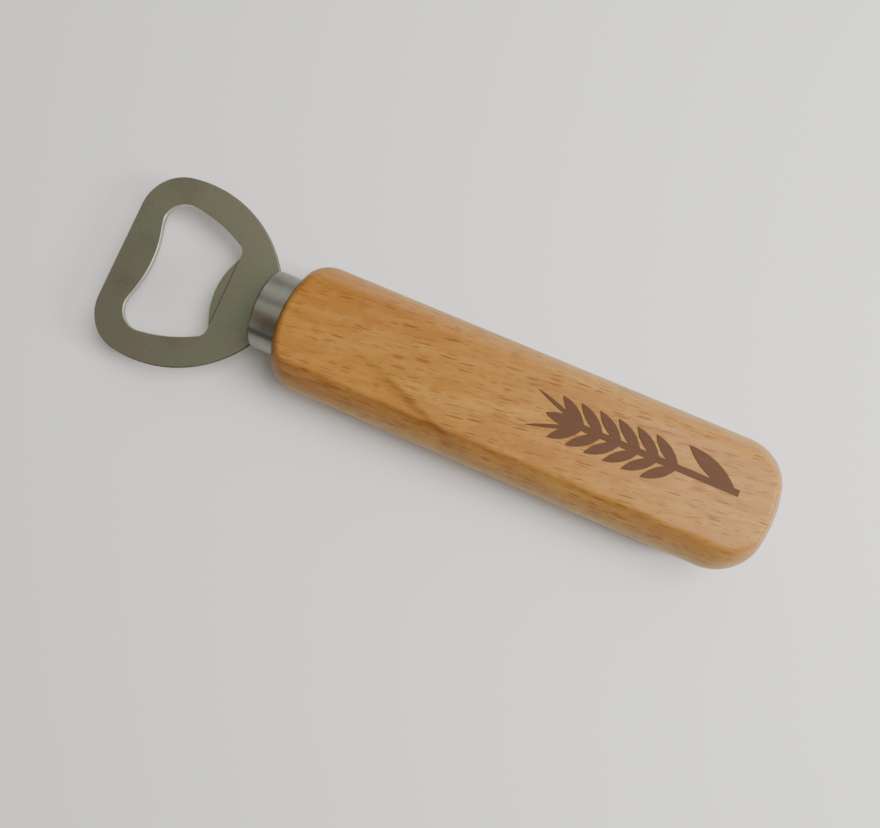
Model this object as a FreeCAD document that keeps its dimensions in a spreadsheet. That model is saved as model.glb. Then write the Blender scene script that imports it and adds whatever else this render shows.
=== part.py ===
import FreeCAD, Part
import Sketcher
import math
import os

# A souvenir bottle opener: a stamped steel head whose tang is glued into a wooden handle
# through a pressed steel ferrule, with a printed barley ear on the handle's top face.
#
# Each body is drawn in one shared local frame: X = 0 is the ferrule's front face, +X runs
# towards the butt, Z = 0 is the ferrule's axis. Every body then has the same Placement,
# which puts the origin at the bottom centre of the whole opener's bounding box.

DOC_NAME = "bottle_opener"
OUTPUT_FOLDER = "parts"

# alias, value in millimetres (tilts in degrees), meaning
SIZES = [
    ("head_reach", 40.3, "ferrule front to the far edge of the head"),
    ("handle_reach", 120.5, "ferrule front to the tip of the butt"),
    ("handle_height", 22.0, "bottom flat to top flat"),
    ("plate_thickness", 1.2, "stamped steel sheet"),
    ("plate_drop", 2.8, "ferrule axis down to the plate's top face"),
    ("plate_edge", 0.25, "rounding of the stamped outer edge"),
    ("far_flat", 12.15, "half length of the head's straight far edge"),
    ("far_corner", 10.6, "radius of the head's far corners"),
    ("flank_radius", 29.5, "radius of the head's long flanks"),
    ("flank_centre", 26.6, "ferrule front to the widest point of the head"),
    ("tang_width", 10.0, "tang inside the handle"),
    ("tang_length", 34.0, "ferrule front to the tang's tip"),
    ("tang_corner", 2.5, "radius of the tang's tip corners"),
    ("eye_far", 31.6, "ferrule front to the top of the eye's far bulge"),
    ("eye_bulge", 27.5, "radius of the bulge that bears on a cap"),
    ("eye_bulge_half", 7.4, "half width of the bulge's arc"),
    ("eye_ramp", 2.4, "straight stretch beside the bulge"),
    ("eye_far_corner", 5.2, "radius of the eye's far corners"),
    ("eye_side", 37.6, "radius of the eye's slanting sides"),
    ("eye_near_corner", 2.4, "radius of the eye's near corners"),
    ("eye_near", 12.35, "ferrule front to the eye's straight near side"),
    ("eye_near_half", 9.7, "half length of the eye's straight near side"),
    ("lip_radius", 18.0, "radius of the lifting lip"),
    ("lip_half", 9.1, "half length of the shear line that the lip hangs from"),
    ("lip_set", 0.7, "how far the lip is pressed below the plate"),
    ("lip_root", 0.5, "lip metal that stays under the plate"),
    ("ferrule_radius", 9.4, "outside of the ferrule"),
    ("ferrule_length", 6.6, "ferrule front to the wood"),
    ("ferrule_wall", 0.7, "drawn sheet"),
    ("ferrule_edge", 0.8, "rounded front edge of the ferrule"),
    ("slot_play", 0.1, "gap round the tang in the ferrule's slot"),
    ("cut_margin", 1.0, "how far a cut runs past what it cuts"),
    ("handle_half_width", 14.9, "handle at mid height"),
    ("side_inset", 5.1, "top flat set in from the widest point of the sides"),
    ("shoulder_start", 4.4, "ferrule front to the full shoulder's tip"),
    ("shoulder_inset", 3.3, "top flat set in from the shoulder's tip"),
    ("shoulder_arc", 25.0, "radius of the shoulder's end in plan"),
    ("shoulder_corner", 7.0, "radius of the shoulder's corners in plan"),
    ("butt_inset", 3.6, "top flat set in from the butt's tip"),
    ("butt_arc", 30.0, "radius of the butt's end in plan"),
    ("butt_corner", 10.0, "radius of the butt's corners in plan"),
    ("corner_loss", 4.2, "how much tighter the corners are at the flats"),
    ("arc_loss", 3.4, "how much tighter the ends are at the flats"),
    ("soft_edge", 1.5, "sanded edge round the flats"),
    ("mortise_width", 10.6, "slot in the wood for the tang"),
    ("mortise_height", 1.9, "slot in the wood for the tang"),
    ("mortise_end", 36.0, "ferrule front to the bottom of the slot"),
    ("print_thickness", 0.15, "layer of paint"),
    ("print_centre", 1.6, "print's centre line off the handle's middle"),
    ("print_start", 76.0, "ferrule front to the root of the ear's tip"),
    ("print_end", 109.5, "ferrule front to the end of the stalk"),
    ("stalk_width", 1.4, "printed stalk"),
    ("kernel_length", 8.0, "printed kernel, root to point"),
    ("kernel_radius", 7.8, "radius of a kernel's two sides"),
    ("kernel_tilt", 36.0, "kernel to stalk, degrees"),
    ("kernel_pitch", 4.1, "from one pair of kernels to the next"),
    ("tip_length", 8.5, "kernel at the ear's tip, root to point"),
    ("tip_radius", 8.0, "radius of the tip kernel's two sides"),
    ("tip_tilt", 0.0, "tip kernel to stalk, degrees"),
    ("awn_length", 12.5, "bristle beside the ear's tip"),
    ("awn_radius", 45.0, "radius of a bristle's two sides"),
    ("awn_tilt", 19.0, "bristle to stalk, degrees"),
    ("leaf_length", 13.0, "printed leaf"),
    ("leaf_radius", 14.0, "radius of the leaf's two sides"),
    ("leaf_tilt", 24.0, "leaf to stalk, degrees"),
]
KERNEL_PAIRS = 6

# Heights of the handle's outlines, as a share of half its height, and how strongly the
# sides bow: the sine of the side arc's half angle.
LEVELS = (1.0, 0.8, 0.45, 0.0, -0.45, -0.8, -1.0)
BOW = 0.684

# Each outline's sizes: the size at mid height, and what is added or taken off at the flats.
OUTLINE_SIZES = {
    "half": ("handle_half_width", "-", "side_inset"),
    "shoulder": ("shoulder_start", "+", "shoulder_inset"),
    "shoulder_arc": ("shoulder_arc", "-", "arc_loss"),
    "shoulder_corner": ("shoulder_corner", "-", "corner_loss"),
    "butt": ("handle_reach", "-", "butt_inset"),
    "butt_arc": ("butt_arc", "-", "arc_loss"),
    "butt_corner": ("butt_corner", "-", "corner_loss"),
}

SIZE = {alias: value for alias, value, meaning in SIZES}
SLACK = 1e-4        # millimetres, for telling whether an edge lies at a given place
X_AXIS = -1         # the sketcher's number for a sketch's own horizontal axis
START, END, CENTRE = 1, 2, 3


def make_sheet(doc):
    sheet = doc.addObject("Spreadsheet::Sheet", "Sizes")
    for row, (alias, value, meaning) in enumerate(SIZES, start=1):
        sheet.set(f"A{row}", meaning)
        sheet.set(f"B{row}", str(value))
        sheet.setAlias(f"B{row}", alias)
    doc.recompute()
    return sheet


def make_body(doc, name):
    """A body whose Placement moves the shared local frame to the opener's own origin."""
    body = doc.addObject("PartDesign::Body", name)
    body.Label = name
    body.setExpression("Placement.Base.x", "(Sizes.head_reach - Sizes.handle_reach) / 2")
    body.setExpression("Placement.Base.z", "Sizes.handle_height / 2")
    return body


def make_sketch(body, name, plane_role, offset):
    """A sketch parallel to one of the body's own origin planes; offset is an expression."""
    sketch = body.newObject("Sketcher::SketchObject", name)
    plane = [item for item in body.Origin.OriginFeatures if item.Role == plane_role][0]
    sketch.AttachmentSupport = [(plane, "")]
    sketch.MapMode = "FlatFace"
    sketch.setExpression(".AttachmentOffset.Base.z", offset)
    return sketch


def point(x, y):
    return FreeCAD.Vector(x, y, 0)


def add_line(sketch, start, end):
    return sketch.addGeometry(Part.LineSegment(point(*start), point(*end)), False)


def add_arc(sketch, start, end, radius, clockwise=False):
    """An arc of less than half a turn from start to end; returns its number."""
    middle_x, middle_y = (start[0] + end[0]) / 2, (start[1] + end[1]) / 2
    chord_x, chord_y = end[0] - start[0], end[1] - start[1]
    chord = math.hypot(chord_x, chord_y)
    rise = math.sqrt(radius ** 2 - chord ** 2 / 4) * (-1 if clockwise else 1)
    centre = point(middle_x - chord_y / chord * rise, middle_y + chord_x / chord * rise)
    first, last = (end, start) if clockwise else (start, end)
    circle = Part.Circle(centre, FreeCAD.Vector(0, 0, 1), radius)
    first_angle = math.atan2(first[1] - centre.y, first[0] - centre.x)
    last_angle = math.atan2(last[1] - centre.y, last[0] - centre.x)
    return sketch.addGeometry(Part.ArcOfCircle(circle, first_angle, last_angle), False)


def constrain(sketch, *values):
    return sketch.addConstraint(Sketcher.Constraint(*values))


def drive(sketch, kind, *values, by):
    """A dimension bound to an expression; its starting value is the last of values."""
    number = constrain(sketch, kind, *values)
    sketch.setExpression(f"Constraints[{number}]", by)


def set_x(sketch, geometry, end, x, by):
    drive(sketch, "DistanceX", geometry, end, x, by=by)


def set_y(sketch, geometry, end, y, by):
    drive(sketch, "DistanceY", geometry, end, y, by=by)


def set_radius(sketch, geometry, radius, by):
    drive(sketch, "Radius", geometry, radius, by=by)


def join(sketch, kind, chain):
    """Join each piece's end to the next one's start; pieces are (number, start, end)."""
    for (first, _, last_end), (second, next_start, _) in zip(chain, chain[1:]):
        constrain(sketch, kind, first, last_end, second, next_start)


def add_feature(body, kind, name, profile, length=None, reverse=False):
    feature = body.newObject(f"PartDesign::{kind}", name)
    feature.Profile = profile
    feature.Reversed = reverse
    if length is not None:
        feature.setExpression("Length", length)
    profile.Visibility = False
    return feature


def check_cut(doc, before, after):
    """A cut has to take material away."""
    doc.recompute()
    if not after.Shape.Volume < before.Shape.Volume:
        raise RuntimeError(f"{after.Name} cuts nothing")


def tangent_arcs(end_x, end_radius, corner_radius, half_width, side):
    """Centre of a corner arc, and where it meets the end arc, on the outline's +Y half.

    The end arc is centred on the X axis and reaches end_x; side is +1 at the butt and -1
    at the shoulder. The corner arc is tangent to the end arc and to the line Y = half_width.
    """
    centre_x = end_x - side * end_radius
    corner_y = half_width - corner_radius
    reach = end_radius - corner_radius
    corner_x = centre_x + side * math.sqrt(reach ** 2 - corner_y ** 2)
    meet_x = centre_x + (corner_x - centre_x) * end_radius / reach
    return corner_x, (meet_x, corner_y * end_radius / reach)


def bow_share(level):
    """How far in from the widest outline a level lies, from 0 at mid height to 1."""
    def depth(share):
        return 1 - math.sqrt(1 - (BOW * share) ** 2)
    return depth(level) / depth(1)


def at_level(name, share):
    """One of an outline's sizes at a level: its value and its expression."""
    base, sign, change = OUTLINE_SIZES[name]
    step = SIZE[change] * share
    value = SIZE[base] + (step if sign == "+" else -step)
    return value, f"(Sizes.{base} {sign} Sizes.{change} * {share})"


def handle_outline(body, number, level):
    """The handle's outline in plan at one height, rounded at both ends."""
    share = bow_share(level)
    half, by_half = at_level("half", share)
    shoulder, by_shoulder = at_level("shoulder", share)
    shoulder_arc, by_shoulder_arc = at_level("shoulder_arc", share)
    shoulder_corner, by_shoulder_corner = at_level("shoulder_corner", share)
    butt, by_butt = at_level("butt", share)
    butt_arc, by_butt_arc = at_level("butt_arc", share)
    butt_corner, by_butt_corner = at_level("butt_corner", share)
    front_x, (front_meet_x, front_meet_y) = tangent_arcs(
        shoulder, shoulder_arc, shoulder_corner, half, -1)
    back_x, (back_meet_x, back_meet_y) = tangent_arcs(butt, butt_arc, butt_corner, half, 1)

    sketch = make_sketch(body, f"outline_{number}", "XY_Plane",
                         f"Sizes.handle_height / 2 * {level}")
    lower_side = add_line(sketch, (front_x, -half), (back_x, -half))
    lower_back = add_arc(sketch, (back_x, -half), (back_meet_x, -back_meet_y), butt_corner)
    back_end = add_arc(sketch, (back_meet_x, -back_meet_y), (back_meet_x, back_meet_y),
                       butt_arc)
    upper_back = add_arc(sketch, (back_meet_x, back_meet_y), (back_x, half), butt_corner)
    upper_side = add_line(sketch, (back_x, half), (front_x, half))
    upper_front = add_arc(sketch, (front_x, half), (front_meet_x, front_meet_y),
                          shoulder_corner)
    front_end = add_arc(sketch, (front_meet_x, front_meet_y), (front_meet_x, -front_meet_y),
                        shoulder_arc)
    lower_front = add_arc(sketch, (front_meet_x, -front_meet_y), (front_x, -half),
                          shoulder_corner)
    loop = [lower_side, lower_back, back_end, upper_back,
            upper_side, upper_front, front_end, lower_front, lower_side]
    join(sketch, "Tangent", [(piece, START, END) for piece in loop])
    constrain(sketch, "Horizontal", lower_side)
    constrain(sketch, "Horizontal", upper_side)
    constrain(sketch, "PointOnObject", back_end, CENTRE, X_AXIS)
    constrain(sketch, "PointOnObject", front_end, CENTRE, X_AXIS)
    constrain(sketch, "Equal", lower_back, upper_back)
    constrain(sketch, "Equal", lower_front, upper_front)
    set_radius(sketch, upper_back, butt_corner, by_butt_corner)
    set_radius(sketch, upper_front, shoulder_corner, by_shoulder_corner)
    set_radius(sketch, back_end, butt_arc, by_butt_arc)
    set_radius(sketch, front_end, shoulder_arc, by_shoulder_arc)
    set_y(sketch, upper_side, START, half, by_half)
    set_y(sketch, lower_side, START, -half, f"-{by_half}")
    set_x(sketch, back_end, CENTRE, butt - butt_arc, f"{by_butt} - {by_butt_arc}")
    set_x(sketch, front_end, CENTRE, shoulder + shoulder_arc,
          f"{by_shoulder} + {by_shoulder_arc}")
    return sketch


def rectangle(sketch, low, high, by_low, by_high):
    """A rectangle from its low corner to its high one; by_low and by_high are expressions."""
    corners = [low, (high[0], low[1]), high, (low[0], high[1]), low]
    sides = [add_line(sketch, *ends) for ends in zip(corners, corners[1:])]
    join(sketch, "Coincident", [(side, START, END) for side in sides + sides[:1]])
    constrain(sketch, "Horizontal", sides[0])
    constrain(sketch, "Vertical", sides[1])
    constrain(sketch, "Horizontal", sides[2])
    constrain(sketch, "Vertical", sides[3])
    set_x(sketch, sides[0], START, low[0], by_low[0])
    set_y(sketch, sides[0], START, low[1], by_low[1])
    set_x(sketch, sides[2], START, high[0], by_high[0])
    set_y(sketch, sides[2], START, high[1], by_high[1])


def circle_at_origin(sketch, radius, by):
    circle = sketch.addGeometry(Part.Circle(point(0, 0), FreeCAD.Vector(0, 0, 1), radius))
    constrain(sketch, "Coincident", circle, CENTRE, X_AXIS, START)
    set_radius(sketch, circle, radius, by)


def edges_at_height(shape, height):
    """Names of the edges that lie flat at one height of the local frame."""
    names = []
    for number, edge in enumerate(shape.Edges, start=1):
        box = edge.BoundBox
        if abs(box.ZMin - height) < SLACK and abs(box.ZMax - height) < SLACK:
            names.append(f"Edge{number}")
    return names


def mid_plate():
    """Height of the middle of the steel sheet, and so of the tang."""
    return -SIZE["plate_drop"] - SIZE["plate_thickness"] / 2


MID_PLATE = "-(Sizes.plate_drop + Sizes.plate_thickness / 2)"


def tang_opening(sketch, width, height, by_width, by_height):
    """A rectangle across the tang, centred on it, in a sketch square to the X axis."""
    middle = mid_plate()
    rectangle(sketch, (-width / 2, middle - height / 2), (width / 2, middle + height / 2),
              (f"-({by_width}) / 2", f"{MID_PLATE} - ({by_height}) / 2"),
              (f"({by_width}) / 2", f"{MID_PLATE} + ({by_height}) / 2"))


def make_handle(doc):
    """Flat top and bottom, bowed sides, rounded ends, and a turned spigot in front."""
    body = make_body(doc, "handle")
    outlines = [handle_outline(body, number, level) for number, level in enumerate(LEVELS)]
    block = body.newObject("PartDesign::AdditiveLoft", "bowed_block")
    block.Profile = outlines[0]
    block.Sections = outlines[1:]
    doc.recompute()

    half_height = SIZE["handle_height"] / 2
    rims = edges_at_height(block.Shape, half_height) + edges_at_height(block.Shape, -half_height)
    softened = body.newObject("PartDesign::Fillet", "soft_edges")
    softened.Base = (block, rims)
    softened.setExpression("Radius", "Sizes.soft_edge")

    end_trim = make_sketch(body, "end_trim", "YZ_Plane", "Sizes.ferrule_length")
    reach = SIZE["handle_half_width"] + SIZE["cut_margin"]
    by_reach = "(Sizes.handle_half_width + Sizes.cut_margin)"
    rectangle(end_trim, (-reach, -reach), (reach, reach),
              (f"-{by_reach}", f"-{by_reach}"), (by_reach, by_reach))
    trimmed = add_feature(body, "Pocket", "square_end", end_trim, "Sizes.ferrule_length")
    check_cut(doc, softened, trimmed)

    spigot_radius = SIZE["ferrule_radius"] - SIZE["ferrule_wall"]
    spigot_circle = make_sketch(body, "spigot_circle", "YZ_Plane", "Sizes.ferrule_length")
    circle_at_origin(spigot_circle, spigot_radius, "Sizes.ferrule_radius - Sizes.ferrule_wall")
    spigot = add_feature(body, "Pad", "spigot", spigot_circle,
                         "Sizes.ferrule_length - Sizes.ferrule_wall", reverse=True)
    doc.recompute()

    slot_mouth = make_sketch(body, "mortise_mouth", "YZ_Plane", "Sizes.ferrule_wall")
    tang_opening(slot_mouth, SIZE["mortise_width"], SIZE["mortise_height"],
                 "Sizes.mortise_width", "Sizes.mortise_height")
    mortise = add_feature(body, "Pocket", "mortise", slot_mouth,
                          "Sizes.mortise_end - Sizes.ferrule_wall", reverse=True)
    check_cut(doc, spigot, mortise)
    return body


def make_ferrule(doc):
    """A drawn cup over the spigot, with a slot for the tang in its closed front."""
    body = make_body(doc, "ferrule")
    outside, wall, length = SIZE["ferrule_radius"], SIZE["ferrule_wall"], SIZE["ferrule_length"]
    blank_circle = make_sketch(body, "blank_circle", "YZ_Plane", "0")
    circle_at_origin(blank_circle, outside, "Sizes.ferrule_radius")
    blank = add_feature(body, "Pad", "blank", blank_circle, "Sizes.ferrule_length")
    doc.recompute()
    front_rim = [f"Edge{number}" for number, edge in enumerate(blank.Shape.Edges, start=1)
                 if abs(edge.BoundBox.XMin) < SLACK and abs(edge.BoundBox.XMax) < SLACK]
    rounded = body.newObject("PartDesign::Fillet", "rounded_front")
    rounded.Base = (blank, front_rim)
    rounded.setExpression("Radius", "Sizes.ferrule_edge")

    hollow_circle = make_sketch(body, "hollow_circle", "YZ_Plane", "Sizes.ferrule_wall")
    circle_at_origin(hollow_circle, outside - wall, "Sizes.ferrule_radius - Sizes.ferrule_wall")
    hollow = add_feature(body, "Pocket", "hollow", hollow_circle,
                         "Sizes.ferrule_length - Sizes.ferrule_wall", reverse=True)
    check_cut(doc, rounded, hollow)

    slot_shape = make_sketch(body, "slot_shape", "YZ_Plane", "0")
    tang_opening(slot_shape, SIZE["tang_width"] + 2 * SIZE["slot_play"],
                 SIZE["plate_thickness"] + 2 * SIZE["slot_play"],
                 "Sizes.tang_width + 2 * Sizes.slot_play",
                 "Sizes.plate_thickness + 2 * Sizes.slot_play")
    slot = add_feature(body, "Pocket", "tang_slot", slot_shape,
                       "Sizes.ferrule_wall + Sizes.cut_margin", reverse=True)
    check_cut(doc, hollow, slot)
    return body


def head_outline(body):
    """The head's outer edge: straight far side, two long flanks, then the tang."""
    far, flat = SIZE["head_reach"], SIZE["far_flat"]
    corner, flank = SIZE["far_corner"], SIZE["flank_radius"]
    half_tang, tang_tip, tip = SIZE["tang_width"] / 2, SIZE["tang_length"], SIZE["tang_corner"]
    # The flank arc is tangent to the corner arc from outside: their centres are in line
    # with the point where they meet.
    reach = flank - corner
    corner_x = corner - far
    flank_x = -SIZE["flank_centre"]
    flank_y = flat - math.sqrt(reach ** 2 - (flank_x - corner_x) ** 2)
    meet = (flank_x + (corner_x - flank_x) * flank / reach,
            flank_y + (flat - flank_y) * flank / reach)
    neck = flank_y + math.sqrt(flank ** 2 - flank_x ** 2)

    sketch = make_sketch(body, "head_outline", "XY_Plane",
                         "-(Sizes.plate_drop + Sizes.plate_thickness)")
    far_side = add_line(sketch, (-far, flat), (-far, -flat))
    lower_corner = add_arc(sketch, (-far, -flat), (meet[0], -meet[1]), corner)
    lower_flank = add_arc(sketch, (meet[0], -meet[1]), (0, -neck), flank)
    lower_neck = add_line(sketch, (0, -neck), (0, -half_tang))
    lower_tang = add_line(sketch, (0, -half_tang), (tang_tip - tip, -half_tang))
    lower_tip = add_arc(sketch, (tang_tip - tip, -half_tang), (tang_tip, tip - half_tang), tip)
    tang_end = add_line(sketch, (tang_tip, tip - half_tang), (tang_tip, half_tang - tip))
    upper_tip = add_arc(sketch, (tang_tip, half_tang - tip), (tang_tip - tip, half_tang), tip)
    upper_tang = add_line(sketch, (tang_tip - tip, half_tang), (0, half_tang))
    upper_neck = add_line(sketch, (0, half_tang), (0, neck))
    upper_flank = add_arc(sketch, (0, neck), meet, flank)
    upper_corner = add_arc(sketch, meet, (-far, flat), corner)

    smooth_head = [upper_flank, upper_corner, far_side, lower_corner, lower_flank]
    smooth_tang = [lower_tang, lower_tip, tang_end, upper_tip, upper_tang]
    join(sketch, "Tangent", [(piece, START, END) for piece in smooth_head])
    join(sketch, "Tangent", [(piece, START, END) for piece in smooth_tang])
    join(sketch, "Coincident", [(piece, START, END) for piece in
                                (lower_flank, lower_neck, lower_tang)])
    join(sketch, "Coincident", [(piece, START, END) for piece in
                                (upper_tang, upper_neck, upper_flank)])
    for piece in (far_side, lower_neck, tang_end, upper_neck):
        constrain(sketch, "Vertical", piece)
    constrain(sketch, "Horizontal", lower_tang)
    constrain(sketch, "Horizontal", upper_tang)
    for lower, upper in ((lower_corner, upper_corner), (lower_flank, upper_flank),
                         (lower_tip, upper_tip)):
        constrain(sketch, "Equal", lower, upper)
    set_radius(sketch, upper_corner, corner, "Sizes.far_corner")
    set_radius(sketch, upper_flank, flank, "Sizes.flank_radius")
    set_radius(sketch, upper_tip, tip, "Sizes.tang_corner")
    set_x(sketch, far_side, START, -far, "-Sizes.head_reach")
    set_y(sketch, far_side, START, flat, "Sizes.far_flat")
    set_y(sketch, far_side, END, -flat, "-Sizes.far_flat")
    set_x(sketch, upper_flank, CENTRE, flank_x, "-Sizes.flank_centre")
    set_x(sketch, lower_flank, CENTRE, flank_x, "-Sizes.flank_centre")
    set_x(sketch, lower_neck, START, 0, "0")
    set_x(sketch, upper_neck, END, 0, "0")
    set_x(sketch, tang_end, START, tang_tip, "Sizes.tang_length")
    set_y(sketch, lower_tang, START, -half_tang, "-Sizes.tang_width / 2")
    set_y(sketch, upper_tang, START, half_tang, "Sizes.tang_width / 2")
    return sketch


def eye_corners():
    """Tangent points on the +Y half of the eye, from the far bulge to the shear line."""
    bulge, bulge_half = SIZE["eye_bulge"], SIZE["eye_bulge_half"]
    far_corner, side = SIZE["eye_far_corner"], SIZE["eye_side"]
    near_corner, near_half = SIZE["eye_near_corner"], SIZE["eye_near_half"]
    tilt = math.asin(bulge_half / bulge)
    bulge_end = (-SIZE["eye_far"] - bulge * (1 - math.cos(tilt)), bulge_half)
    ramp = SIZE["eye_ramp"]
    ramp_end = (bulge_end[0] - ramp * math.sin(tilt), bulge_half + ramp * math.cos(tilt))
    far_centre = (ramp_end[0] + far_corner * math.cos(tilt),
                  ramp_end[1] + far_corner * math.sin(tilt))
    near_centre = (-SIZE["eye_near"] - near_corner, near_half)
    # The side's centre is side - far_corner from one corner's centre and
    # side - near_corner from the other's.
    gap_x, gap_y = near_centre[0] - far_centre[0], near_centre[1] - far_centre[1]
    gap = math.hypot(gap_x, gap_y)
    far_reach, near_reach = side - far_corner, side - near_corner
    along = (far_reach ** 2 - near_reach ** 2 + gap ** 2) / (2 * gap)
    across = math.sqrt(far_reach ** 2 - along ** 2)
    side_centre = (far_centre[0] + (gap_x * along + gap_y * across) / gap,
                   far_centre[1] + (gap_y * along - gap_x * across) / gap)
    meets = []
    for centre, reach in ((far_centre, far_reach), (near_centre, near_reach)):
        meets.append((side_centre[0] + (centre[0] - side_centre[0]) * side / reach,
                      side_centre[1] + (centre[1] - side_centre[1]) * side / reach))
    return bulge_end, ramp_end, meets[0], meets[1], (-SIZE["eye_near"], near_half)


def eye_outline(body):
    """The window in the plate, without the lifting lip that reaches into it."""
    bulge_end, ramp_end, far_meet, near_meet, shear_end = eye_corners()

    def mirrored(place):
        return place[0], -place[1]

    sketch = make_sketch(body, "eye_outline", "XY_Plane", "-Sizes.plate_drop")
    bulge = add_arc(sketch, mirrored(bulge_end), bulge_end, SIZE["eye_bulge"])
    shear = add_line(sketch, mirrored(shear_end), shear_end)
    halves = []
    for place, clockwise in ((lambda spot: spot, True), (mirrored, False)):
        halves.append([
            add_line(sketch, place(bulge_end), place(ramp_end)),
            add_arc(sketch, place(ramp_end), place(far_meet), SIZE["eye_far_corner"], clockwise),
            add_arc(sketch, place(far_meet), place(near_meet), SIZE["eye_side"], clockwise),
            add_arc(sketch, place(near_meet), place(shear_end), SIZE["eye_near_corner"],
                    clockwise)])
    upper, lower = halves
    # A clockwise arc's own start is the end of its stretch of the loop.
    join(sketch, "Tangent", [(bulge, START, END), (upper[0], START, END),
                             (upper[1], END, START), (upper[2], END, START),
                             (upper[3], END, START), (shear, END, START)])
    join(sketch, "Tangent", [(bulge, END, START)] + [(piece, START, END) for piece in lower]
         + [(shear, START, END)])
    constrain(sketch, "Vertical", shear)
    constrain(sketch, "PointOnObject", bulge, CENTRE, X_AXIS)
    for number, alias in ((1, "eye_far_corner"), (2, "eye_side"), (3, "eye_near_corner")):
        constrain(sketch, "Equal", upper[number], lower[number])
        set_radius(sketch, upper[number], SIZE[alias], f"Sizes.{alias}")
    set_radius(sketch, bulge, SIZE["eye_bulge"], "Sizes.eye_bulge")
    set_x(sketch, bulge, CENTRE, -SIZE["eye_far"] - SIZE["eye_bulge"],
          "-(Sizes.eye_far + Sizes.eye_bulge)")
    set_y(sketch, bulge, END, bulge_end[1], "Sizes.eye_bulge_half")
    set_y(sketch, bulge, START, -bulge_end[1], "-Sizes.eye_bulge_half")
    for ramp in (upper[0], lower[0]):
        drive(sketch, "Distance", ramp, SIZE["eye_ramp"], by="Sizes.eye_ramp")
    set_x(sketch, shear, START, shear_end[0], "-Sizes.eye_near")
    set_y(sketch, shear, START, -shear_end[1], "-Sizes.eye_near_half")
    set_y(sketch, shear, END, shear_end[1], "Sizes.eye_near_half")
    return sketch


def lip_outline(body):
    """The lifting lip in plan: an arc in front of the shear line and a straight root."""
    half, radius = SIZE["lip_half"], SIZE["lip_radius"]
    near, root = SIZE["eye_near"], SIZE["lip_root"]
    sketch = make_sketch(body, "lip_outline", "XY_Plane",
                         "-(Sizes.plate_drop + Sizes.lip_set + Sizes.plate_thickness)")
    rim = add_arc(sketch, (-near, half), (-near, -half), radius)
    lower_root = add_line(sketch, (-near, -half), (root - near, -half))
    back = add_line(sketch, (root - near, -half), (root - near, half))
    upper_root = add_line(sketch, (root - near, half), (-near, half))
    join(sketch, "Coincident", [(piece, START, END) for piece in
                                (rim, lower_root, back, upper_root, rim)])
    constrain(sketch, "Horizontal", lower_root)
    constrain(sketch, "Vertical", back)
    constrain(sketch, "Horizontal", upper_root)
    set_radius(sketch, rim, radius, "Sizes.lip_radius")
    set_x(sketch, rim, START, -near, "-Sizes.eye_near")
    set_x(sketch, rim, END, -near, "-Sizes.eye_near")
    set_y(sketch, rim, START, half, "Sizes.lip_half")
    set_y(sketch, rim, END, -half, "-Sizes.lip_half")
    set_x(sketch, back, START, root - near, "Sizes.lip_root - Sizes.eye_near")
    return sketch


def round_edges(body, name, base, edges):
    rounded = body.newObject("PartDesign::Fillet", name)
    rounded.Base = (base, edges)
    rounded.setExpression("Radius", "Sizes.plate_edge")
    return rounded


def make_head(doc):
    """One stamped sheet: the ring with its eye, the pressed lip, and the tang."""
    body = make_body(doc, "opener_head")
    top = -SIZE["plate_drop"]
    bottom = top - SIZE["plate_thickness"]
    blank = add_feature(body, "Pad", "sheet_blank", head_outline(body), "Sizes.plate_thickness")
    doc.recompute()
    rims = []
    for height in (top, bottom):
        for name in edges_at_height(blank.Shape, height):
            box = blank.Shape.getElement(name).BoundBox
            if box.XMax < SLACK and box.XMin < -SLACK:
                rims.append(name)
    rolled = round_edges(body, "rolled_rim", blank, rims)

    window_outline = eye_outline(body)
    eye = add_feature(body, "Pocket", "eye", window_outline,
                      "Sizes.plate_thickness + Sizes.cut_margin")
    check_cut(doc, rolled, eye)
    window = window_outline.Shape.BoundBox
    window.enlarge(SLACK)
    rims = [name for name in edges_at_height(eye.Shape, top)
            if window.isInside(eye.Shape.getElement(name).BoundBox)]
    rolled_eye = round_edges(body, "rolled_eye", eye, rims)
    add_feature(body, "Pad", "lip", lip_outline(body), "Sizes.plate_thickness")
    doc.recompute()
    if not rolled_eye.Shape.Volume < eye.Shape.Volume:
        raise RuntimeError("the eye's edge is not rounded")
    return body


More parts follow.
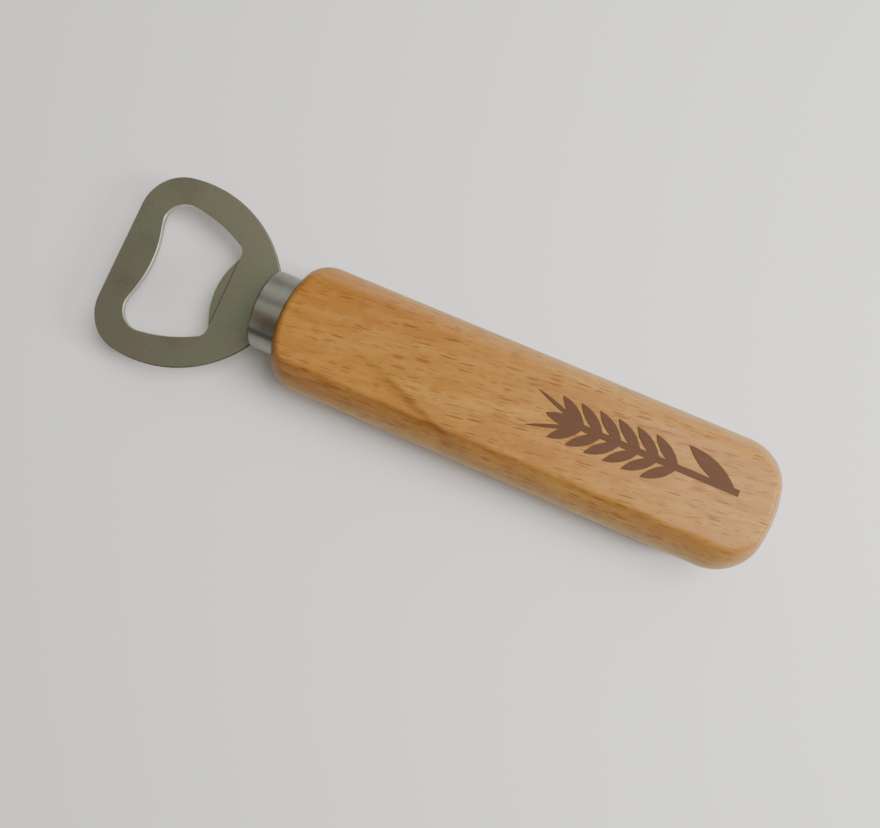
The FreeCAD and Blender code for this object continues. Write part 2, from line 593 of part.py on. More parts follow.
def make_adhesive(doc):
    """Cured epoxy that fills the mortise round the tang."""
    body = make_body(doc, "tang_adhesive")
    fill_shape = make_sketch(body, "fill_shape", "YZ_Plane", "Sizes.ferrule_wall")
    tang_opening(fill_shape, SIZE["mortise_width"], SIZE["mortise_height"],
                 "Sizes.mortise_width", "Sizes.mortise_height")
    fill = add_feature(body, "Pad", "fill", fill_shape,
                       "Sizes.mortise_end - Sizes.ferrule_wall")
    doc.recompute()
    tang_shape = make_sketch(body, "tang_shape", "XY_Plane", "-Sizes.plate_drop")
    half, tip_x, tip = SIZE["tang_width"] / 2, SIZE["tang_length"], SIZE["tang_corner"]
    lower = add_line(tang_shape, (0, -half), (tip_x - tip, -half))
    lower_tip = add_arc(tang_shape, (tip_x - tip, -half), (tip_x, tip - half), tip)
    end = add_line(tang_shape, (tip_x, tip - half), (tip_x, half - tip))
    upper_tip = add_arc(tang_shape, (tip_x, half - tip), (tip_x - tip, half), tip)
    upper = add_line(tang_shape, (tip_x - tip, half), (0, half))
    mouth = add_line(tang_shape, (0, half), (0, -half))
    join(tang_shape, "Tangent", [(piece, START, END) for piece in
                                 (lower, lower_tip, end, upper_tip, upper)])
    join(tang_shape, "Coincident", [(piece, START, END) for piece in (upper, mouth, lower)])
    constrain(tang_shape, "Horizontal", lower)
    constrain(tang_shape, "Horizontal", upper)
    constrain(tang_shape, "Vertical", end)
    constrain(tang_shape, "Vertical", mouth)
    constrain(tang_shape, "Equal", lower_tip, upper_tip)
    set_radius(tang_shape, upper_tip, tip, "Sizes.tang_corner")
    set_x(tang_shape, mouth, START, 0, "0")
    set_x(tang_shape, end, START, tip_x, "Sizes.tang_length")
    set_y(tang_shape, lower, START, -half, "-Sizes.tang_width / 2")
    set_y(tang_shape, upper, START, half, "Sizes.tang_width / 2")
    cavity = add_feature(body, "Pocket", "tang_cavity", tang_shape, "Sizes.plate_thickness")
    check_cut(doc, fill, cavity)
    return body


def add_blade(sketch, kind, root_x, by_root_x):
    """A pointed blade of two equal arcs, rooted on the stalk and tilted away from it."""
    length, radius = SIZE[f"{kind}_length"], SIZE[f"{kind}_radius"]
    tilt = math.radians(SIZE[f"{kind}_tilt"])
    root = (root_x, 0)
    tip = (root_x - length * math.cos(tilt), length * math.sin(tilt))
    along = f"Sizes.{kind}_length * cos(Sizes.{kind}_tilt)"
    across = f"Sizes.{kind}_length * sin(Sizes.{kind}_tilt)"
    near = add_arc(sketch, root, tip, radius)
    far = add_arc(sketch, tip, root, radius)
    join(sketch, "Coincident", [(near, START, END), (far, START, END), (near, START, END)])
    constrain(sketch, "Equal", near, far)
    constrain(sketch, "PointOnObject", near, START, X_AXIS)
    set_radius(sketch, near, radius, f"Sizes.{kind}_radius")
    set_x(sketch, near, START, root_x, by_root_x)
    set_x(sketch, near, END, tip[0], f"{by_root_x} - {along}")
    set_y(sketch, near, END, tip[1], across)


def add_blades(body, kind, roots):
    """One printed layer of blades; roots are (place along X, its expression)."""
    sketch = make_sketch(body, f"{kind}_shape", "XY_Plane", "Sizes.handle_height / 2")
    for root_x, by_root_x in roots:
        add_blade(sketch, kind, root_x, by_root_x)
    return add_feature(body, "Pad", f"{kind}_layer", sketch, "Sizes.print_thickness")


def make_print(doc):
    """A barley ear in one layer of paint: stalk, paired kernels, bristles and a leaf."""
    body = make_body(doc, "ear_print")
    body.setExpression("Placement.Base.y", "Sizes.print_centre")
    start, finish = SIZE["print_start"], SIZE["print_end"]
    half_stalk = SIZE["stalk_width"] / 2
    stalk_shape = make_sketch(body, "stalk_shape", "XY_Plane", "Sizes.handle_height / 2")
    rectangle(stalk_shape, (start - 2 * half_stalk, -half_stalk), (finish, half_stalk),
              ("Sizes.print_start - Sizes.stalk_width", "-Sizes.stalk_width / 2"),
              ("Sizes.print_end", "Sizes.stalk_width / 2"))
    add_feature(body, "Pad", "stalk_layer", stalk_shape, "Sizes.print_thickness")
    doc.recompute()

    first = [(start, "Sizes.print_start")]
    kernel_roots = [(start + number * SIZE["kernel_pitch"],
                     f"Sizes.print_start + {number} * Sizes.kernel_pitch")
                    for number in range(KERNEL_PAIRS)]
    kernels = add_blades(body, "kernel", kernel_roots)
    bristle = add_blades(body, "awn", first)
    add_blades(body, "tip", first)
    add_blades(body, "leaf", [(finish - half_stalk,
                               "Sizes.print_end - Sizes.stalk_width / 2")])
    doc.recompute()
    mirrored = body.newObject("PartDesign::Mirrored", "far_side")
    mirrored.Originals = [kernels, bristle]
    plane = [item for item in body.Origin.OriginFeatures if item.Role == "XZ_Plane"][0]
    mirrored.MirrorPlane = (plane, [""])
    body.Tip = mirrored
    return body


def check_document(doc, bodies):
    """Every object has recomputed, and every sub-part is one valid solid."""
    for item in doc.Objects:
        if {"Invalid", "Error"} & set(item.State):
            raise RuntimeError(f"{item.Name} failed: {item.State}")
    for body in bodies:
        shape = body.Shape
        if shape.isNull() or not shape.isValid() or len(shape.Solids) != 1:
            raise RuntimeError(f"{body.Label} is not one valid solid")


def main():
    doc = FreeCAD.newDocument(DOC_NAME)
    make_sheet(doc)
    bodies = [make(doc) for make in
              (make_head, make_ferrule, make_handle, make_adhesive, make_print)]
    doc.recompute()
    check_document(doc, bodies)
    os.makedirs(OUTPUT_FOLDER, exist_ok=True)
    for body in bodies:
        body.Shape.exportStep(os.path.join(OUTPUT_FOLDER, f"{body.Label}.step"))
        box = body.Shape.optimalBoundingBox()
        print(f"{body.Label}: {body.Shape.Volume:.1f} mm3, X {box.XMin:.2f} to {box.XMax:.2f},"
              f" Y {box.YMin:.2f} to {box.YMax:.2f}, Z {box.ZMin:.2f} to {box.ZMax:.2f}")


main()
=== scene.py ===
import math

import bpy
from mathutils import Matrix, Vector


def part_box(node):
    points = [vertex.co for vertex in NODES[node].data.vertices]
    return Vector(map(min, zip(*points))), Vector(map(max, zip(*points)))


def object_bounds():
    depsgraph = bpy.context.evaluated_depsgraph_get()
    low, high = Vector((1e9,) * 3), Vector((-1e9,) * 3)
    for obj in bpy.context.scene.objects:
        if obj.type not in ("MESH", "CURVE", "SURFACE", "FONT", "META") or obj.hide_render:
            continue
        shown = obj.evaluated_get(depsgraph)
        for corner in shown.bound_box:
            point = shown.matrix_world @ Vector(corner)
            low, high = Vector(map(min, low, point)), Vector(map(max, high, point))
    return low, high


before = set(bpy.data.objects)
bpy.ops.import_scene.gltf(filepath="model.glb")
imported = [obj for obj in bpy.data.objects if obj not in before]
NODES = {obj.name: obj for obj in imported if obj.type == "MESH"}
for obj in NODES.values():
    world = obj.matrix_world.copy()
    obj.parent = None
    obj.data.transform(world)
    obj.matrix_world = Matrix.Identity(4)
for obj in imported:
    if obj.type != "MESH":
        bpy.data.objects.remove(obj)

CAD_LOW, CAD_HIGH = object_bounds()
MM = 0.001


def mm(*lengths):
    """Millimetres as metres."""
    return tuple(length * MM for length in lengths)


FERRULE_LOW, FERRULE_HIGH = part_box("ferrule")
FERRULE_FRONT = FERRULE_LOW.x
FERRULE_HEIGHT = (FERRULE_LOW.z + FERRULE_HIGH.z) / 2   # of its axis
SHEAR_X = FERRULE_FRONT - 12.35 * MM                    # the straight near side of the eye


# ---------------------------------------------------------------- node helpers

def node(tree, kind, inputs=None, **settings):
    """A shader node; inputs maps a socket's name or number to a value or another socket."""
    made = tree.nodes.new(kind)
    for key, value in settings.items():
        setattr(made, key, value)
    for name, value in (inputs or {}).items():
        if isinstance(value, bpy.types.NodeSocket):
            tree.links.new(value, made.inputs[name])
        else:
            made.inputs[name].default_value = value
    return made


def new_material(name, **values):
    """A material with one Principled shader, its uniform values set on its own sockets."""
    material = bpy.data.materials.new(name)
    material.use_nodes = True
    tree = material.node_tree
    shader = tree.nodes["Principled BSDF"]
    for socket, value in values.items():
        shader.inputs[socket.replace("_", " ")].default_value = value
    return material, tree, shader


def place(tree):
    """Position in the opener's own frame, in metres."""
    return node(tree, "ShaderNodeTexCoord").outputs["Object"]


def split(tree, vector):
    """The X, Y and Z of a vector."""
    return node(tree, "ShaderNodeSeparateXYZ", {"Vector": vector}).outputs


def mapped(tree, vector, scale=(1, 1, 1), turn=(0, 0, 0), shift=(0, 0, 0)):
    """A vector scaled, then turned, then shifted."""
    return node(tree, "ShaderNodeMapping", {
        "Vector": vector, "Scale": scale, "Rotation": turn, "Location": shift
    }).outputs["Vector"]


def noise(tree, vector, cells, shift=(0, 0, 0), detail=3.0, rough=0.5, distortion=0.0):
    """Noise from 0 to 1, with so many cells to the metre along each axis."""
    return node(tree, "ShaderNodeTexNoise", {
        "Vector": mapped(tree, vector, cells, shift=shift), "Scale": 1.0, "Detail": detail,
        "Roughness": rough, "Distortion": distortion
    }).outputs["Fac"]


def spread(tree, value, low, high, to_low=0.0, to_high=1.0):
    """Stretches the range low to high onto to_low to to_high, clamped, with soft ends."""
    return node(tree, "ShaderNodeMapRange", {
        "Value": value, "From Min": low, "From Max": high,
        "To Min": to_low, "To Max": to_high
    }, interpolation_type="SMOOTHSTEP").outputs["Result"]


def maths(tree, operation, first, second=0.0):
    return node(tree, "ShaderNodeMath", {0: first, 1: second},
                operation=operation).outputs["Value"]


def product(tree, first, *others):
    for other in others:
        first = maths(tree, "MULTIPLY", first, other)
    return first


def band(tree, value, start, full, hold, end):
    """1 from full to hold, with soft ends at start and end."""
    return product(tree, spread(tree, value, start, full),
                   spread(tree, value, hold, end, 1.0, 0.0))


def blend_colour(tree, factor, first, second, mode="MIX"):
    """Mixes two colours, each a socket or (r, g, b)."""
    made = node(tree, "ShaderNodeMix", data_type="RGBA", blend_type=mode)
    for number, value in ((0, factor), (6, first), (7, second)):
        if isinstance(value, bpy.types.NodeSocket):
            tree.links.new(value, made.inputs[number])
        elif number:
            made.inputs[number].default_value = (*value, 1)
        else:
            made.inputs[number].default_value = value
    return made.outputs[2]


def layer(tree, under, over, *amounts):
    """Lays one colour over another, by the product of the amounts."""
    return blend_colour(tree, product(tree, *amounts), under, over)


def tinted(tree, colour, low_tint, high_tint, amount):
    """Multiplies a colour by a tint that goes from low_tint to high_tint with the amount."""
    tint = layer(tree, low_tint, high_tint, amount)
    return blend_colour(tree, 1.0, colour, tint, "MULTIPLY")


def surface(tree, shader, colour, roughness):
    """Links a varying colour and roughness to the shader."""
    tree.links.new(colour, shader.inputs["Base Color"])
    tree.links.new(roughness, shader.inputs["Roughness"])


def relief(tree, shader, height, depth, strength=0.4):
    """Fine bump on the shader; depth is what a height of 1 stands for, in metres."""
    bumped = node(tree, "ShaderNodeBump",
                  {"Height": height, "Distance": depth, "Strength": strength})
    tree.links.new(bumped.outputs["Normal"], shader.inputs["Normal"])


# ---------------------------------------------------------------- wood

GRAIN_TILT = math.radians(7.5)      # the grain runs off the handle's axis

WOOD_LIGHT = (0.365, 0.174, 0.045)
WOOD_DEEP = (0.290, 0.124, 0.026)
WOOD_PALE = (0.395, 0.212, 0.050)
WOOD_LIMB_SHEEN = (0.425, 0.300, 0.082)
STREAK_AND_SHADE_BROWN = (0.135, 0.056, 0.013)
PORE_BROWN = (0.152, 0.050, 0.012)
ROSY_TINT = (1.0, 0.96, 1.0)
STRAW_TINT = (1.03, 1.02, 0.93)
DULL_TINT = (0.93, 0.90, 0.88)
BRIGHT_TINT = (1.06, 1.09, 1.10)

# Places on the handle: four lengths are a band's start, full, hold and end, two a ramp's ends.
TO_BUTT = mm(-30, 85)                       # along: from the head's tones to the butt's
LIMB_SHEEN_HEIGHTS = mm(4, 10, 11, 20)             # a paler band round the sides: painted reflection of the pale floor and the lacquer's sheen
LOW_SIDE_SHADE = mm(-11.2, -9.6, -8.5, -2.0)     # across: painted shade beside the low crease, on the side away from the light
FAR_STRIP = mm(3.0, 5.5, 9.0, 10.5)         # across: deeper beside the far crease
FAR_STRIP_ALONG = mm(-32, -12, 28, 52)

RING_SLANT = 0.36                           # across, for each length along
RING_WANDER = 3.2 * MM
RING_INSIDE = mm(-7.6, -5.8)                # across, at the middle of the handle
RING_FADE = mm(-9.6, -6.8)                  # its dark edge fades out on the inside
RING_ALONG = mm(-20, 0, 8, 16)

STREAKS_ACROSS = mm(-10.8, -9.2)
STREAKS_FROM = mm(-38, -20)                 # along
STREAKS_TO = mm(6, 20)
STREAKS_REST = 0.3                          # what is left of them beyond both
# Painted shade along the low crease of the top face.
CREASE_SHADE_ACROSS = mm(-11.8, -10.2)
CREASE_SHADE_ALONG = mm(-18, 2)


def along_grain(tree, here):
    return mapped(tree, here, turn=(0, 0, -GRAIN_TILT))


def pores(tree, grain, cells, reach, seed):
    """Short soft dashes along the grain: one in each stretched cell, of uneven size."""
    wander = noise(tree, grain, cells=(160, 500, 500), shift=seed, detail=2)
    sideways = product(tree, maths(tree, "SUBTRACT", wander, 0.5), 1.4)
    offset = node(tree, "ShaderNodeCombineXYZ", {"Y": sideways}).outputs["Vector"]
    bent = node(tree, "ShaderNodeVectorMath", {
        0: mapped(tree, grain, cells, shift=seed), 1: offset}, operation="ADD")
    cell = node(tree, "ShaderNodeTexVoronoi", {"Vector": bent.outputs["Vector"], "Scale": 1.0})
    chance = node(tree, "ShaderNodeSeparateColor", {"Color": cell.outputs["Color"]})
    limit = product(tree, maths(tree, "POWER", chance.outputs["Red"], 1.3), reach)
    inside = maths(tree, "SUBTRACT", limit, cell.outputs["Distance"])
    strength = spread(tree, chance.outputs["Green"], 0.0, 1.0, 0.35, 1.0)
    return product(tree, spread(tree, inside, -0.02, 0.17), strength)


def growth_ring(tree, along, across, here, streaks):
    """The dark edge of a growth ring that leaves the top face a little ahead of the middle.

    Returns how dark the ring's edge is, and how far inside the ring a place lies.
    """
    wobble = noise(tree, here, cells=(90, 180, 180), shift=(2, 6, 4), detail=4)
    slanted = maths(tree, "ADD", across, product(tree, along, RING_SLANT))
    slanted = maths(tree, "ADD", slanted,
                    product(tree, maths(tree, "SUBTRACT", wobble, 0.5), RING_WANDER))
    within = spread(tree, slanted, *RING_INSIDE, 1.0, 0.0)
    edge = product(tree, within, spread(tree, slanted, *RING_FADE))
    ragged = spread(tree, streaks, 0.36, 0.60, 0.55, 1.0)
    return product(tree, edge, ragged, band(tree, along, *RING_ALONG)), within


def streaks_and_crease_shade(tree, along, across, grain):
    """Long dark grain streaks low on one side, the strongest along the crease of the top face,
    where painted shade is added to them.
    """
    lines = noise(tree, grain, cells=(26, 820, 820), shift=(5, 5, 1))
    on_side = spread(tree, across, *STREAKS_ACROSS, 1.0, 0.0)
    reach = product(tree, spread(tree, along, *STREAKS_FROM, STREAKS_REST, 1.0),
                    spread(tree, along, *STREAKS_TO, 1.0, STREAKS_REST))
    # Painted shade along the low crease.
    crease = product(tree, spread(tree, across, *CREASE_SHADE_ACROSS),
                     spread(tree, along, *CREASE_SHADE_ALONG))
    wide = maths(tree, "ADD", spread(tree, lines, 0.53, 0.74), crease)
    return product(tree, wide, on_side, reach)


def broad_tones(tree, here, bands, deeper):
    """The wood without its fine marks, with painted shade on its low side and a painted sheen
    round its sides; deeper lists how far each mark deepens a place.
    """
    along, across, height = split(tree, here)
    near_head = layer(tree, WOOD_LIGHT, WOOD_DEEP, spread(tree, bands, 0.40, 0.64))
    near_butt = layer(tree, WOOD_PALE, WOOD_LIGHT, spread(tree, bands, 0.38, 0.66))
    colour = layer(tree, near_head, near_butt, spread(tree, along, *TO_BUTT))
    for amount in deeper:
        colour = layer(tree, colour, WOOD_DEEP, amount)
    # Painted reflection and sheen: a paler band round the sides near the limbs.
    colour = layer(tree, colour, WOOD_LIMB_SHEEN, spread(tree, bands, 0.36, 0.64, 0.88, 0.60),
                   band(tree, height, *LIMB_SHEEN_HEIGHTS))
    # Painted shade towards the low side of the top face.
    colour = layer(tree, colour, WOOD_DEEP, 0.40, band(tree, across, *LOW_SIDE_SHADE))
    return layer(tree, colour, WOOD_DEEP, band(tree, across, *FAR_STRIP),
                 band(tree, along, *FAR_STRIP_ALONG), 0.42)


def wood_colour(tree, here, grain, fibre):
    """The wood's tones with its growth ring, streaks, painted shade and painted sheen, but
    without its pores.
    """
    bands = noise(tree, grain, cells=(10, 130, 130), detail=4, distortion=0.5)
    broad = noise(tree, grain, cells=(26, 70, 70), shift=(3, 1, 5))
    streaks = noise(tree, grain, cells=(75, 950, 950), shift=(1, 8, 2), rough=0.6)
    blotch = noise(tree, grain, cells=(170, 520, 520), shift=(6, 2, 7), detail=4, rough=0.65)
    along, across, _ = split(tree, here)
    ring_edge, within = growth_ring(tree, along, across, here, streaks)
    colour = broad_tones(tree, here, bands, deeper=(
        spread(tree, broad, 0.50, 0.75, 0.0, 0.5),
        product(tree, within, 0.18),
        spread(tree, streaks, 0.46, 0.74, 0.0, 0.50),
        spread(tree, fibre, 0.45, 0.80, 0.0, 0.30)))
    colour = tinted(tree, colour, ROSY_TINT, STRAW_TINT, spread(tree, broad, 0.35, 0.62))
    colour = tinted(tree, colour, DULL_TINT, BRIGHT_TINT, spread(tree, blotch, 0.36, 0.64))
    dark = maths(tree, "MAXIMUM", product(tree, ring_edge, 0.88),
                 product(tree, streaks_and_crease_shade(tree, along, across, grain), 0.56))
    return layer(tree, colour, STREAK_AND_SHADE_BROWN, dark)


def wood_material():
    """Rubberwood under a thin satin lacquer, with open pores along the grain."""
    material, tree, shader = new_material(
        "rubberwood", Coat_Weight=0.05, Coat_Roughness=0.22, Specular_IOR_Level=0.14)
    here = place(tree)
    grain = along_grain(tree, here)
    fibre = noise(tree, grain, cells=(160, 3600, 3600), rough=0.6)
    large = pores(tree, grain, cells=(210, 2100, 2100), reach=0.56, seed=(0, 0, 0))
    small = pores(tree, grain, cells=(380, 2800, 2800), reach=0.54, seed=(7, 3, 9))
    open_pores = maths(tree, "MAXIMUM", product(tree, large, 0.72), product(tree, small, 0.55))
    colour = layer(tree, wood_colour(tree, here, grain, fibre), PORE_BROWN, open_pores)
    surface(tree, shader, colour, spread(tree, fibre, 0.2, 0.8, 0.36, 0.52))
    height = maths(tree, "SUBTRACT", product(tree, fibre, 0.3), open_pores)
    relief(tree, shader, height, 0.03 * MM, strength=0.5)
    return material


# ---------------------------------------------------------------- stamped plate

PLATE_GREEN = (0.262, 0.292, 0.200)
PLATE_WARM = (0.298, 0.272, 0.200)
PLATE_STAIN = (0.200, 0.165, 0.118)
PLATE_GROOVE = (0.165, 0.160, 0.115)
PLATE_SPECK = (0.50, 0.48, 0.40)
OUTLINE_SHADE = (0.07, 0.072, 0.055)
EYE_WALL_HIGHLIGHT = (0.52, 0.53, 0.49)
SHEAR_SHADOW = (0.03, 0.03, 0.024)

SHEAR_MIDDLE = SHEAR_X - 0.12 * MM
SHEAR_HALF_WIDTH = mm(0.10, 0.34)
SHEAR_HALF_LENGTH = mm(9.4, 9.8)
SHEAR_TOP = mm(7.85, 8.1)           # it stays just under the plate's top face
EYE_HALF_ACROSS = mm(16.6, 17.2)    # between the eye's edge and the outline
EYE_ALONG = (*mm(-77.5, -76.5), SHEAR_X + 1.5 * MM, SHEAR_X + 2.5 * MM)
STEEP = (0.50, 0.97)                # Z of the normal, from a wall to a flat face


def shear_step_shadow(tree, here):
    """Painted shadow in the step where the lip has been sheared and pressed down from the plate.
    """
    along, across, height = split(tree, here)
    apart = maths(tree, "ABSOLUTE", maths(tree, "SUBTRACT", along, SHEAR_MIDDLE))
    return product(tree, spread(tree, apart, *SHEAR_HALF_WIDTH, 0.95, 0.0),
                   spread(tree, height, *SHEAR_TOP, 1.0, 0.0),
                   spread(tree, maths(tree, "ABSOLUTE", across), *SHEAR_HALF_LENGTH, 1.0, 0.0))


def sheet_edges(tree, here):
    """The steep edges of the sheet: how far a place is on the outline, and how far in the eye."""
    along, across, _ = split(tree, here)
    beside = spread(tree, maths(tree, "ABSOLUTE", across), *EYE_HALF_ACROSS)
    past_end = maths(tree, "SUBTRACT", 1.0, band(tree, along, *EYE_ALONG))
    outside = maths(tree, "MAXIMUM", beside, past_end)
    upright = split(tree, node(tree, "ShaderNodeNewGeometry").outputs["Normal"])["Z"]
    steep = spread(tree, maths(tree, "ABSOLUTE", upright), *STEEP, 1.0, 0.0)
    return (product(tree, steep, outside),
            product(tree, steep, maths(tree, "SUBTRACT", 1.0, outside)))


def plate_material():
    """Stamped sheet: fine brushing along the opener and a faint warm and green mottle, with
    painted shade on its outer edges, a painted highlight on the eye's wall and a painted shadow
    along the lip's step.
    """
    material, tree, shader = new_material("brushed_plate", Metallic=1.0)
    here = place(tree)
    brushing = noise(tree, here, cells=(140, 9000, 9000), rough=0.7)
    speckle = noise(tree, here, cells=(2600, 2600, 2600), detail=2)
    mottle = noise(tree, here, cells=(70, 90, 90))
    stain = noise(tree, here, cells=(55, 60, 60), shift=(4, 2, 1), detail=2)
    colour = layer(tree, PLATE_GREEN, PLATE_WARM, spread(tree, mottle, 0.35, 0.65))
    colour = layer(tree, colour, PLATE_STAIN, spread(tree, stain, 0.55, 0.75, 0.0, 0.40))
    colour = layer(tree, colour, PLATE_GROOVE, spread(tree, brushing, 0.3, 0.7, 0.0, 0.35))
    colour = layer(tree, colour, PLATE_SPECK, spread(tree, speckle, 0.40, 0.7, 0.0, 0.10))
    outline, eye_wall = sheet_edges(tree, here)
    # Painted shade on the steep outer edges of the sheet.
    colour = layer(tree, colour, OUTLINE_SHADE, outline, 0.92)
    # Painted highlight on the eye's steep wall.
    colour = layer(tree, colour, EYE_WALL_HIGHLIGHT, eye_wall, 0.75)
    # Painted shadow along the lip's step.
    colour = layer(tree, colour, SHEAR_SHADOW, shear_step_shadow(tree, here))
    surface(tree, shader, colour, spread(tree, brushing, 0.25, 0.75, 0.40, 0.52))
    relief(tree, shader, brushing, 0.006 * MM)
    return material


# ---------------------------------------------------------------- ferrule

STEEL_GREY = (0.225, 0.232, 0.205)
STEEL_DULL = (0.185, 0.183, 0.158)
STEEL_LIT = (0.335, 0.335, 0.290)
STEEL_BROWN_REFLECTION = (0.285, 0.230, 0.155)
STEEL_SHADED = (0.13, 0.10, 0.07)
STEEL_BRIGHT_REFLECTION = (0.40, 0.38, 0.31)
STEEL_DARK_REFLECTION = (0.085, 0.090, 0.085)
RIM_SHADOW = (0.05, 0.05, 0.045)

# Bands of painted reflection and painted shade across the top of the wall, each with its start,
# full, hold and end.
LIT = mm(-7.4, -6.9, -0.4, 1.0)
BROWN_REFLECTION = mm(-5.2, -3.9, -2.7, -1.6)
SHADED = mm(-6.4, -5.4, -4.2, -2.2)
SHADED_ALONG = mm(-39, -36)                 # only near the wood
BRIGHT_REFLECTION = mm(-2.3, -1.2, -0.7, 0.3)
DARK_REFLECTION = mm(-7.5, -6.8, -6.4, -5.5)

WALL_RADII = mm(8.9, 9.2)                   # from the flat front to the wall
WALL_HEIGHTS = (FERRULE_HEIGHT, FERRULE_HEIGHT + 4 * MM)
RIM_RADII = mm(8.1, 8.7)                    # the rounded edge between them
RIM_ALONG = (FERRULE_FRONT + 0.25 * MM, FERRULE_FRONT + 0.75 * MM)


def painted_wall_light(tree, along, across, mottle, plain):
    """The ferrule's wall: a painted reflection on its top, a brown painted reflection beside it,
    painted shade near the wood and a dark painted reflection below.
    """
    patchy = spread(tree, mottle, 0.35, 0.60, 0.45, 1.0)
    near_wood = spread(tree, along, *SHADED_ALONG)
    # Painted reflections and painted shade on the top of the wall.
    colour = layer(tree, plain, STEEL_LIT, band(tree, across, *LIT))
    colour = layer(tree, colour, STEEL_BROWN_REFLECTION, band(tree, across, *BROWN_REFLECTION), patchy)
    colour = layer(tree, colour, STEEL_SHADED, near_wood, band(tree, across, *SHADED), 0.5)
    colour = layer(tree, colour, STEEL_BRIGHT_REFLECTION, band(tree, across, *BRIGHT_REFLECTION))
    return layer(tree, colour, STEEL_DARK_REFLECTION, band(tree, across, *DARK_REFLECTION), 0.85)


def from_axis(tree, here):
    """How far a place is from the ferrule's axis."""
    outward = node(tree, "ShaderNodeVectorMath", {
        0: here, 1: (0, 1, 1), 2: (0, 0, -FERRULE_HEIGHT)}, operation="MULTIPLY_ADD")
    return node(tree, "ShaderNodeVectorMath", {0: outward.outputs["Vector"]},
                operation="LENGTH").outputs["Value"]


def ferrule_material():
    """Drawn cup with satin rings round its axis, painted reflections and shade on its wall and a
    painted shadow on its front rim.
    """
    material, tree, shader = new_material("ferrule_steel", Metallic=1.0)
    here = place(tree)
    along, across, height = split(tree, here)
    radius = from_axis(tree, here)
    rings = noise(tree, here, cells=(5200, 45, 45), rough=0.6)
    mottle = noise(tree, here, cells=(190, 160, 160))
    plain = layer(tree, STEEL_GREY, STEEL_DULL, spread(tree, mottle, 0.35, 0.7))
    colour = layer(tree, plain, painted_wall_light(tree, along, across, mottle, plain),
                   spread(tree, radius, *WALL_RADII), spread(tree, height, *WALL_HEIGHTS))
    # Painted shadow and dark reflection on the rounded front rim beside the plate.
    colour = layer(tree, colour, RIM_SHADOW, spread(tree, radius, *RIM_RADII, 0.0, 0.85),
                   spread(tree, along, *RIM_ALONG, 1.0, 0.0))
    surface(tree, shader, colour, spread(tree, rings, 0.25, 0.75, 0.36, 0.46))
    relief(tree, shader, rings, 0.004 * MM)
    return material


# ---------------------------------------------------------------- print and glue

PRINT_BROWN = (0.094, 0.045, 0.0245)
PRINT_THIN = (0.083, 0.040, 0.021)
GLUE_AMBER = (0.62, 0.52, 0.30)
GLUE_CLOUDY = (0.50, 0.38, 0.19)


def print_material():
    """Flat screen-printed paint, a little uneven where it lies over the grain."""
    material, tree, shader = new_material("brown_print", Specular_IOR_Level=0.12)
    grain = along_grain(tree, place(tree))
    fibre = noise(tree, grain, cells=(140, 2600, 2600), rough=0.6)
    colour = layer(tree, PRINT_BROWN, PRINT_THIN, spread(tree, fibre, 0.35, 0.75, 0.0, 0.35))
    surface(tree, shader, colour, spread(tree, fibre, 0.2, 0.8, 0.55, 0.72))
    relief(tree, shader, fibre, 0.02 * MM)
    return material


def glue_material():
    """Cured glue, slightly cloudy; it is hidden in the handle."""
    material, tree, shader = new_material("epoxy", IOR=1.55, Transmission_Weight=0.3)
    cloud = noise(tree, place(tree), cells=(300, 300, 300))
    surface(tree, shader, layer(tree, GLUE_AMBER, GLUE_CLOUDY, cloud),
            spread(tree, cloud, 0.2, 0.8, 0.25, 0.5))
    return material


def dress(name, material):
    """Gives a carried-over CAD node its material."""
    slots = NODES[name].data.materials
    slots.clear()
    slots.append(material)


# ---------------------------------------------------------------- stage

FLOOR_HALF = 1.5                                # metres
FLOOR_GREY = (0.80, 0.79, 0.78, 1)

# Places from the middle of the footprint, in millimetres.
CAMERA_STAND = (21.96, -18.75, 175.7)
CAMERA_AIM = (6.29, -6.56, 11.0)
CAMERA_ROLL = math.radians(23.57)
LENS, SENSOR = 30.3, 36                         # millimetres


def floor():
    """A plain pale floor, level with the lowest point of the CAD."""
    corners = [(x * FLOOR_HALF, y * FLOOR_HALF, CAD_LOW.z)
               for x, y in ((-1, -1), (1, -1), (1, 1), (-1, 1))]
    mesh = bpy.data.meshes.new("floor")
    mesh.from_pydata(corners, [], [(0, 1, 2, 3)])
    made = bpy.data.objects.new("floor", mesh)
    bpy.context.scene.collection.objects.link(made)
    mesh.materials.append(new_material("pale_floor", Base_Color=FLOOR_GREY, Roughness=0.9)[0])


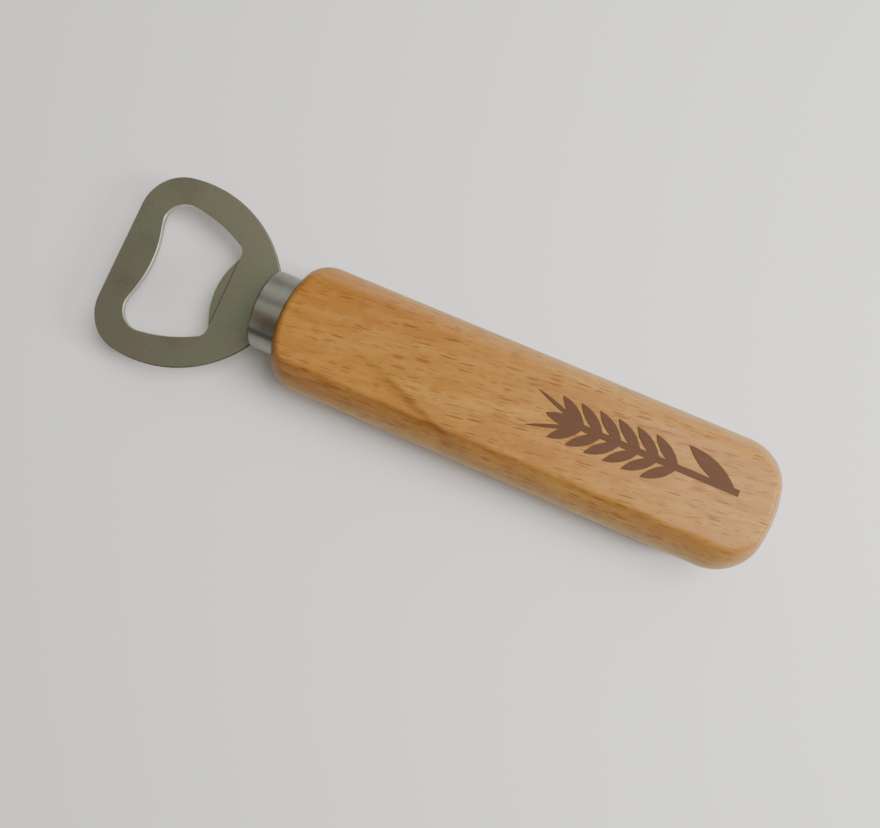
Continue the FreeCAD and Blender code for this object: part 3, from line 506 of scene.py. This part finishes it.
def softbox(name, position, target, size, power, colour=(1, 1, 1)):
    """A rectangular area light at a position, facing its target."""
    data = bpy.data.lights.new(name, "AREA")
    data.shape = "RECTANGLE"
    data.size, data.size_y = size
    data.energy = power
    data.color = colour
    made = bpy.data.objects.new(name, data)
    made.location = position
    made.rotation_euler = (Vector(target) - Vector(position)).to_track_quat("-Z", "Y").to_euler()
    bpy.context.scene.collection.objects.link(made)


def surroundings(colour, strength):
    """An even light from all round."""
    world = bpy.data.worlds.new("studio")
    world.use_nodes = True
    background = world.node_tree.nodes["Background"]
    background.inputs["Color"].default_value = (*colour, 1)
    background.inputs["Strength"].default_value = strength
    bpy.context.scene.world = world


def lights():
    """A soft key from above, a broad light from the far side and a small one past the butt."""
    surroundings(colour=(1.0, 0.97, 0.92), strength=0.30)
    softbox("overhead", position=(0.25, 0.12, 0.45), target=(0.02, 0, 0.01), size=(0.36, 0.30),
            power=3.4, colour=(1, 0.985, 0.95))
    softbox("side", position=(-0.15, 0.60, 0.46), target=(0, 0, 0.01), size=(1.2, 0.5),
            power=1.8, colour=(0.97, 1, 0.90))
    softbox("low", position=(0.46, 0.06, 0.27), target=(0.02, 0, 0.01), size=(0.12, 0.12),
            power=1.75)


def camera():
    """Nearly overhead, about 18 cm above the floor, turned so that the butt points down right."""
    data = bpy.data.cameras.new("view")
    data.lens = LENS
    data.sensor_width = SENSOR
    made = bpy.data.objects.new("view", data)
    bpy.context.scene.collection.objects.link(made)
    centre = (CAD_LOW + CAD_HIGH) / 2
    foot = Vector((centre.x, centre.y, CAD_LOW.z))
    eye = foot + Vector(CAMERA_STAND) * MM
    look = (foot + Vector(CAMERA_AIM) * MM - eye).normalized()
    level = look.cross(Vector((0, 1, 0))).normalized()
    right = level * math.cos(CAMERA_ROLL) + level.cross(look) * math.sin(CAMERA_ROLL)
    up = right.cross(look)
    made.matrix_world = Matrix((
        (right.x, up.x, -look.x, eye.x),
        (right.y, up.y, -look.y, eye.y),
        (right.z, up.z, -look.z, eye.z),
        (0, 0, 0, 1)))
    bpy.context.scene.camera = made


dress("handle", wood_material())
dress("opener_head", plate_material())
dress("ferrule", ferrule_material())
dress("ear_print", print_material())
dress("tang_adhesive", glue_material())
floor()
lights()
camera()
